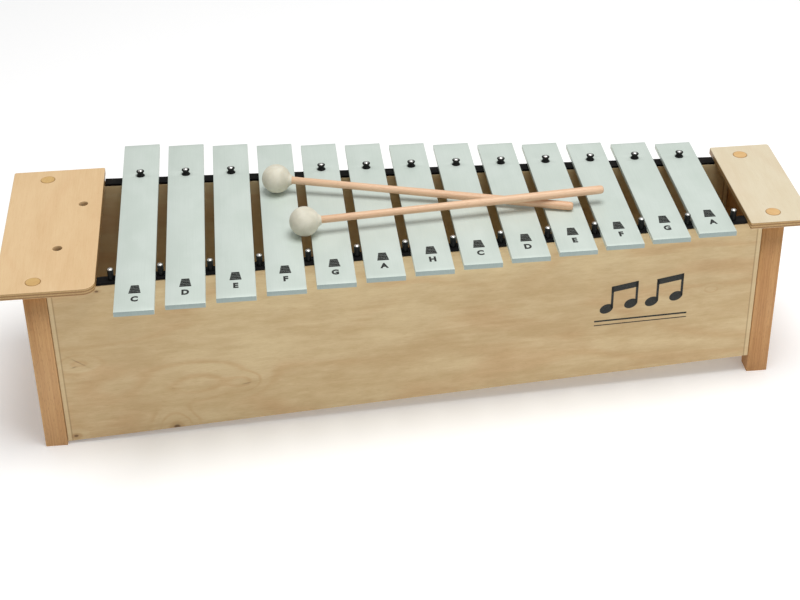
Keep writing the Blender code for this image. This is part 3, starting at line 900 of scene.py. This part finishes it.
strip_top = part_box("front_rest_strip")[1].z
for place, count in (("front", 14), ("back", 13)):
    nodes = [f"{place}_pin_{number:02d}" for number in range(1, count + 1)]
    ends = [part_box(node) for node in (nodes[0], nodes[-1])]
    first, last = ((low + high) / 2 for low, high in ends)
    pin_foot, pin_top = ends[0][0].z, ends[0][1].z
    row = {"First": (first.x, first.y, 0.0), "Last": (last.x, last.y, 0.0), "Count": count}
    steel = {"Top": pin_top, "Foot": pin_foot, "Radius": PIN_HEAD_RADIUS, "Neck": PIN_SHANK_RADIUS}
    pins = pin_rule.make(place + "_pins", {**row, **steel, "Head height": PIN_HEAD_HEIGHT})
    in_bar, at_waist, at_lip = SLEEVES[place]
    rubber = {
        "Top": pin_top - LIP_DROP,
        "Foot": strip_top,
        "Radius": in_bar,
        "Waist": at_waist,
        "Waist height": pin_top - LIP_DROP - WAIST_DROP,
        "Lip": at_lip,
        "Neck": PIN_SHANK_RADIUS,
    }
    sleeves = sleeve_rule.make(place + "_sleeves", {**row, **rubber})
    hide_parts(*nodes)
    for piece in (pins, sleeves):
        smoothed(piece.data, 50)
        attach(piece, "frame")


# Bars -----------------------------------------------------------------
# Thirteen flat bars of aluminium with a pale, satin finish, each tuned by a shallow recess ground
# across its underside. A round hole near the back end takes a guide pin.

BAR_EDGE = 0.0005
RECESS_SHARE = 0.30  # of the bar's length
LOWEST_RECESS = 0.0014  # depth in the lowest note's bar
HIGHEST_RECESS = 0.0006
BAR_HOLE_RADIUS = 0.00425
NOTES = ("c4", "d4", "e4", "f4", "g4", "a4", "h4", "c5", "d5", "e5", "f5", "g5", "a5")

satin = Finish("bar_satin", Metallic=0.25, Specular_IOR_Level=0.4)
drawn = satin.cloud(satin.laid((0.0005, 0.06, 0.0005)), 3.0, 0.6)
mottle = satin.cloud(satin.laid((0.03, 0.05, 0.03)), 3.0, 0.5, 0.3)
touched = satin.cloud(satin.laid((0.012, 0.012, 0.012)), 4.0, 0.6, 0.8)
satin_colour = satin.mix(satin.rise(mottle, 0.3, 0.7), tint(209, 220, 211), tint(216, 226, 218))
scratches = satin.rise(drawn, 0.6, 0.35) * 0.06
satin_colour = satin.mix(scratches, satin_colour, tint(180, 194, 188), "MULTIPLY")
# Both end faces of each bar are darkened: painted shade on faces that turn away from the light, varied
# by faint saw marks.
facing = satin.node("ShaderNodeTexCoord", {}, {}, "Normal")
end_face_shade = satin.rise(abs(satin.split(facing, "Y")), 0.6, 0.9)
saw_marks = satin.cloud(satin.laid((0.0009, 0.0009, 0.004)), 2.0)
satin_colour = satin.mix(end_face_shade * (0.75 + 0.25 * saw_marks), satin_colour, tint(148, 163, 160))
satin.give(satin_colour, 0.36 + 0.16 * touched + 0.06 * drawn, drawn, 0.000012)

bar_rule = Rule(
    "tuned_bar",
    {
        "Middle": (0.0, 0.0, 0.0),
        "Length": 0.3,
        "Width": 0.036,
        "Thickness": 0.005,
        "Recess depth": 0.001,
        "Recess reach": 0.04,
        "Hole place": 0.07,
        "Hole radius": 0.004,
    },
)
size = bar_rule.size
grid = {"Size X": size["Width"], "Size Y": size["Length"], "Vertices X": 2, "Vertices Y": 41}
sheet = bar_rule.node("GeometryNodeMeshGrid", {}, grid)
raised = bar_rule.node(
    "GeometryNodeExtrudeMesh",
    {"mode": "FACES"},
    {
        "Mesh": sheet,
        "Offset": bar_rule.vector(0.0, 0.0, 1.0),
        "Offset Scale": size["Thickness"],
        "Individual": False,
    },
)
under = bar_rule.node("GeometryNodeFlipFaces", {}, {"Mesh": sheet})
closed = bar_rule.node("GeometryNodeJoinGeometry", {}, {"Geometry": [under, raised]})
closed = bar_rule.node("GeometryNodeMergeByDistance", {}, {"Geometry": closed, "Distance": 1e-6})
place = bar_rule.node("GeometryNodeInputPosition", {}, {})
along = bar_rule.node("ShaderNodeSeparateXYZ", {}, {0: place}, 1)
height = bar_rule.node("ShaderNodeSeparateXYZ", {}, {0: place}, 2)
hollow = 1.0 - (along / size["Recess reach"]) ** 2.0
hollow = bar_rule.node("ShaderNodeMath", {"operation": "MAXIMUM"}, {0: hollow, 1: 0.0})
low_half = 1.0 - height / size["Thickness"]
ground = bar_rule.vector(0.0, 0.0, hollow * low_half * size["Recess depth"])
closed = bar_rule.node("GeometryNodeSetPosition", {}, {"Geometry": closed, "Offset": ground})
rod = {"Vertices": 40, "Radius": size["Hole radius"], "Depth": 0.05}
drill = bar_rule.node("GeometryNodeMeshCylinder", {}, rod, "Mesh")
hole = bar_rule.vector(0.0, size["Hole place"], 0.0)
drill = bar_rule.node("GeometryNodeTransform", {}, {"Geometry": drill, "Translation": hole})
cut = {"operation": "DIFFERENCE", "solver": "EXACT"}
drilled = bar_rule.node("GeometryNodeMeshBoolean", cut, {"Mesh 1": closed, "Mesh 2": drill})
moved = {"Geometry": drilled, "Translation": size["Middle"]}
placed = bar_rule.node("GeometryNodeTransform", {}, moved)
bar_rule.end(placed, satin.material)


def eased(piece, width, segments, angle):
    """Rounds a piece's sharp edges in its mesh."""
    edge = piece.modifiers.new("eased", "BEVEL")
    edge.width = width
    edge.segments = segments
    edge.limit_method = "ANGLE"
    edge.angle_limit = math.radians(angle)
    mesh = worked_out(piece)
    piece.modifiers.remove(edge)
    piece.data = mesh


for number, note in enumerate(NOTES):
    node = "bar_" + note
    low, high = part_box(node)
    middle = (low + high) / 2
    share = number / (len(NOTES) - 1)
    pin_low, pin_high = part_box(f"back_pin_{number + 1:02d}")
    bar = bar_rule.make(
        node + "_aluminium",
        {
            "Middle": (middle.x, middle.y, low.z),
            "Length": high.y - low.y,
            "Width": high.x - low.x,
            "Thickness": high.z - low.z,
            "Recess depth": LOWEST_RECESS + (HIGHEST_RECESS - LOWEST_RECESS) * share,
            "Recess reach": RECESS_SHARE * (high.y - low.y) / 2,
            "Hole place": (pin_low.y + pin_high.y) / 2,
            "Hole radius": BAR_HOLE_RADIUS,
        },
    )
    eased(bar, BAR_EDGE, 2, 40)
    smoothed(bar.data, 30)
    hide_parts(node)
    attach(bar, "bar_body_" + note)


# Note marks -----------------------------------------------------------
# The note's letter in black and a small tapered block of five ruled lines in grey, printed on
# each bar near its front end.

LETTER_FOOT = 0.0156  # from the bar's front end
LETTER_HEIGHT = 0.0088
LETTER_NARROWING = 0.84
LETTER_BOLDNESS = 0.055
STAVE_FOOT = 0.0293  # from the bar's front end
STAVE_HEIGHT = 0.0134
STAVE_FRONT = 0.0110  # the block's width at its front line
STAVE_BACK = 0.0070
STAVE_LINES = 5
LINE_SHARE = 0.90  # of the gap from one line to the next

grey_ink = printing_ink("grey_ink", 0.0007, 0.35, tint(100, 110, 102), tint(116, 125, 117))


def letter_mesh(letter):
    """A bold capital as a flat closed mesh, one unit high, centred across on the origin."""
    text = bpy.data.curves.new("letter", "FONT")
    text.body = letter
    text.size = 1.0
    text.offset = LETTER_BOLDNESS
    text.extrude = 0.5
    text.resolution_u = 4
    holder = in_scene("letter", text)
    mesh = merged(worked_out(holder))
    bpy.data.objects.remove(holder)
    bpy.data.curves.remove(text)
    points = [v.co for v in mesh.vertices]
    least = Vector(min(p[i] for p in points) for i in range(3))
    most = Vector(max(p[i] for p in points) for i in range(3))
    scale = 1.0 / (most.y - least.y)
    mesh.transform(
        Matrix.Diagonal((scale, scale, 1.0 / (most.z - least.z), 1.0))
        @ Matrix.Translation((-(least.x + most.x) / 2, -least.y, -least.z))
    )
    return mesh


for number, note in enumerate(NOTES):
    low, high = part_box("bar_" + note)
    middle = (low.x + high.x) / 2
    bottom = high.z + INK_LIFT
    cage = bmesh.new()
    letter = letter_mesh(note[0].upper())
    letter.transform(
        Matrix.Translation((middle, low.y + LETTER_FOOT, bottom))
        @ Matrix.Diagonal((LETTER_HEIGHT * LETTER_NARROWING, LETTER_HEIGHT, INK_THICK, 1.0))
    )
    cage.from_mesh(letter)
    bpy.data.meshes.remove(letter)
    gap = STAVE_HEIGHT / (STAVE_LINES - 1 + LINE_SHARE)
    for line in range(STAVE_LINES):
        front = low.y + STAVE_FOOT + gap * line
        back = front + LINE_SHARE * gap
        half = [
            (STAVE_FRONT + (STAVE_BACK - STAVE_FRONT) * (y - low.y - STAVE_FOOT) / STAVE_HEIGHT) / 2
            for y in (front, back)
        ]
        corners = [
            (middle - half[0], front),
            (middle + half[0], front),
            (middle + half[1], back),
            (middle - half[1], back),
        ]
        levels = [[(x, y, z) for x, y in corners] for z in (bottom, bottom + INK_THICK)]
        printed(cage, *levels, slot=1)
    cage.normal_update()
    marks = bpy.data.meshes.new("note_" + note)
    cage.to_mesh(marks)
    cage.free()
    mark = shown("note_" + note, marks, black_ink)
    marks.materials.append(grey_ink)
    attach(mark, "bar_body_" + note)


# Mallets --------------------------------------------------------------
# Turned beech sticks with balls of pale rubber. The stick is glued into a collar on the ball and
# swells a little to the grip, whose end is rounded.

NECK_RADIUS = 0.0036
GRIP_RADIUS = 0.0042
COLLAR_RADIUS = 0.0047
COLLAR_FLARE = 0.0068  # radius where the collar leaves the ball
COLLAR_END = 0.0158  # from the ball's centre
COLLAR_MOUTH = 0.003  # depth of the cone that takes the stick's end
# The collar's rim: how far before its end, and how far outside its radius.
COLLAR_RIM = ((0.0024, 0.0012), (0.0013, 0.0004), (0.0005, 0.0001), (0.0001, -0.0002), (0.0, -0.0006))
# The grip's rounded end: how far before the end, and what share of the grip's radius.
GRIP_END = ((0.0035, 0.985), (0.0018, 0.93), (0.0008, 0.82), (0.0002, 0.62), (0.0, 0.4))
HANDLE_SHADES = (tint(236, 201, 167), tint(226, 186, 150))
HANDLE_FLECK = tint(194, 146, 110)


def axis_of(node):
    """The two ends of a turned CAD node's axis, the one nearer to the low notes first."""
    points = np.array(points_of(node))
    middle = points.mean(axis=0)
    direction = np.linalg.svd(points - middle, full_matrices=False)[2][0]
    direction *= math.copysign(1.0, direction[0])
    along = (points - middle) @ direction
    return Vector(middle + direction * along.min()), Vector(middle + direction * along.max())


def lathed(name, profile, sides, start, towards, material):
    """A mesh turned about the line from start: (distance along the line, radius) points."""
    line = (towards - start).normalized()
    turn = line.to_track_quat("Z", "Y").to_matrix().to_4x4()
    cage = bmesh.new()
    rings = []
    for along, radius in profile:
        if radius == 0.0:
            rings.append([cage.verts.new((0.0, 0.0, along))])
            continue
        angles = [2 * math.pi * i / sides for i in range(sides)]
        ring = [(radius * math.cos(a), radius * math.sin(a), along) for a in angles]
        rings.append([cage.verts.new(point) for point in ring])
    for first, second in zip(rings, rings[1:]):
        for i in range(sides):
            j = (i + 1) % sides
            if len(first) == 1:
                cage.faces.new((first[0], second[i], second[j]))
            elif len(second) == 1:
                cage.faces.new((first[i], first[j], second[0]))
            else:
                cage.faces.new((first[i], first[j], second[j], second[i]))
    bmesh.ops.recalc_face_normals(cage, faces=cage.faces)
    mesh = bpy.data.meshes.new(name)
    cage.to_mesh(mesh)
    cage.free()
    mesh.transform(Matrix.Translation(start) @ turn)
    smoothed(mesh, 50)
    return shown(name, mesh, material)


for number, which in enumerate(("lower", "upper")):
    body = which + "_mallet"
    neck, grip = axis_of(body + "_handle")
    direction = (grip - neck).normalized()
    pole = min(p.dot(direction) for p in points_of(body + "_head"))
    head_low, head_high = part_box(body + "_head")
    ball_radius = (head_high.z - head_low.z) / 2
    centre = neck + direction * (pole + ball_radius - neck.dot(direction))

    rubber = Finish(which + "_head_rubber", Specular_IOR_Level=0.35, Subsurface_Weight=0.08)
    rubber.shader.inputs["Subsurface Radius"].default_value = (0.004, 0.003, 0.002)
    speckle = rubber.cloud(rubber.laid((0.0016, 0.0016, 0.0016)), 3.0, 0.6)
    smudged = rubber.laid((0.012, 0.012, 0.012), (0.3 * number, 0.1, 0.2))
    smudge = rubber.rise(rubber.cloud(smudged, 3.0, 0.5, 0.4), 0.35, 0.65)
    colour = rubber.mix(smudge, tint(208, 203, 184), tint(222, 217, 199))
    colour = rubber.mix(rubber.rise(speckle, 0.58, 0.72) * 0.12, colour, tint(176, 168, 146))
    rubber.give(colour, 0.62 + 0.2 * speckle, speckle, 0.00012)
    angle = math.degrees(math.acos(COLLAR_FLARE / ball_radius))
    ball = [
        (-ball_radius * math.sin(math.radians(a)), ball_radius * math.cos(math.radians(a)))
        for a in np.linspace(90, -angle, 40)
    ]
    profile = [(-ball_radius, 0.0)] + ball[1:]
    profile += [(COLLAR_END - before, COLLAR_RADIUS + beyond) for before, beyond in COLLAR_RIM]
    profile += [(COLLAR_END, NECK_RADIUS - 0.0002), (COLLAR_END - COLLAR_MOUTH, 0.0)]
    head = lathed(body + "_head_rubber", profile, 64, centre, grip, rubber.material)
    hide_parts(body + "_head")

    turn = tuple(direction.to_track_quat("X", "Z").to_euler())
    grain_centre = (0.2 + number, 0.1, 0.5)
    stick = beech(
        which + "_handle_beech", turn, grain_centre, *HANDLE_SHADES, fleck=HANDLE_FLECK, Coat_Weight=0.12
    )
    reach = (grip - neck).length
    profile = [
        (0.0, 0.0),
        (0.0, NECK_RADIUS - 0.0005),
        (0.0005, NECK_RADIUS),
        (reach * 0.33, NECK_RADIUS),
        (reach * 0.62, GRIP_RADIUS - 0.0002),
        (reach - 0.012, GRIP_RADIUS),
        *((reach - before, GRIP_RADIUS * share) for before, share in GRIP_END),
        (reach, 0.0),
    ]
    handle = lathed(body + "_handle_beech", profile, 32, neck, grip, stick)
    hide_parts(body + "_handle")
    for piece in (head, handle):
        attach(piece, body)
